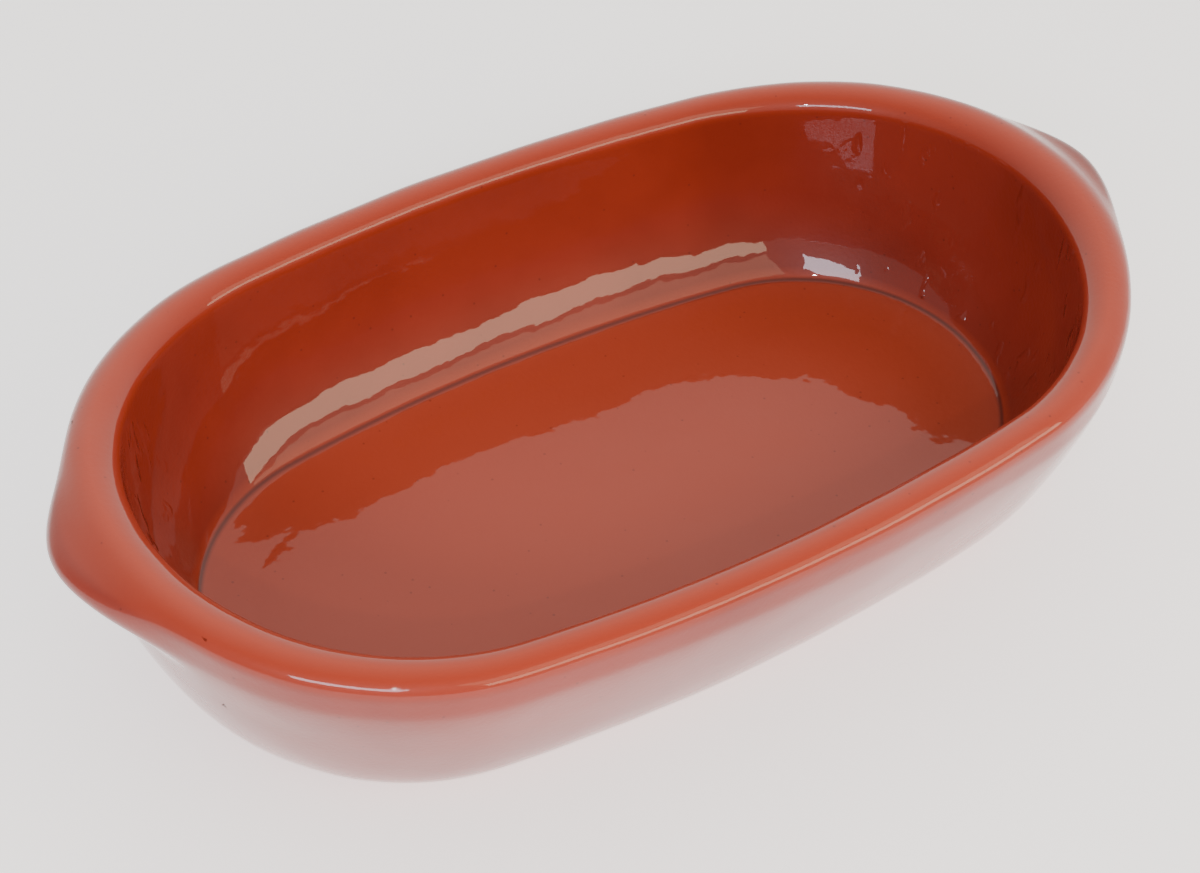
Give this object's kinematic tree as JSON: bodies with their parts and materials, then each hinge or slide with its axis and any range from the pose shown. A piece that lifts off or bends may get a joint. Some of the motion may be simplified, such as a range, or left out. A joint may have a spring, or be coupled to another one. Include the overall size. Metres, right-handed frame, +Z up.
{
  "type": "oval baking dish",
  "caption": "Open oblong glazed terracotta baking dish with a rounded thick rim, a flat floor, curved walls and a small thumb lug under the rim at each end.",
  "frame": {"origin": "on the resting plane, under the middle of the dish", "axes": "+X along the dish from lug to lug, +Y across it, +Z up"},
  "size_m": [0.254, 0.145, 0.0566],
  "materials": {
    "glazed_terracotta": "clear gloss glaze over red clay"
  },
  "bodies": {
    "root": {"dish_body": "glazed_terracotta", "right_handle": "glazed_terracotta", "left_handle": "glazed_terracotta"}
  },
  "joints": []
}
